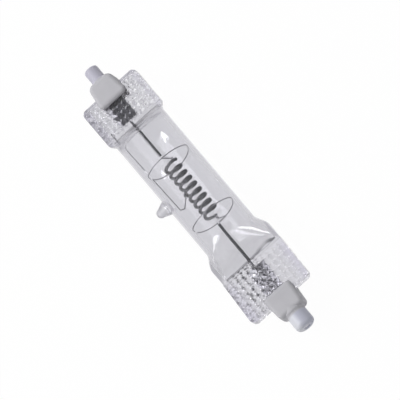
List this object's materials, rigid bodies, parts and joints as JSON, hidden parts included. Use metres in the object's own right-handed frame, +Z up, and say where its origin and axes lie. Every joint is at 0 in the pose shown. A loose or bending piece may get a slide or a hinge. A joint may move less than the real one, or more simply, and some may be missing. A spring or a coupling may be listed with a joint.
{
  "type": "linear halogen bulb",
  "caption": "Short linear halogen lamp: clear quartz tube with waffle-pressed ends, a coiled filament on wire supports, and ceramic end caps with round necks.",
  "frame": {"origin": "on the surface that the lamp lies on, under the middle of its outline; the lamp axis is 12.25 mm above it", "axes": "+X along the lamp axis towards the end with the long shoulder, -Y towards the exhaust tip, +Z up, square to the pressed faces"},
  "size_m": [0.1432, 0.0324, 0.0245],
  "materials": {
    "quartz": "clear, polished",
    "ceramic": "matt, fine grained",
    "cement": "matt, rough",
    "contact_metal": "dull nickel",
    "molybdenum": "dark, satin",
    "tungsten": "dark, satin"
  },
  "bodies": {
    "root": {"envelope": "quartz", "cap_left": "ceramic", "cap_right": "ceramic", "cement_left": "cement", "cement_right": "cement", "contact_left": "contact_metal", "contact_right": "contact_metal", "outer_lead_left": "molybdenum", "outer_lead_right": "molybdenum", "foil_left": "molybdenum", "foil_right": "molybdenum", "inner_lead_left": "tungsten", "inner_lead_right": "tungsten", "lead_wrap_left": "tungsten", "lead_wrap_right": "tungsten", "filament": "tungsten", "ring_support_left": "tungsten", "ring_support_right": "tungsten", "side_support": "tungsten"}
  },
  "joints": []
}
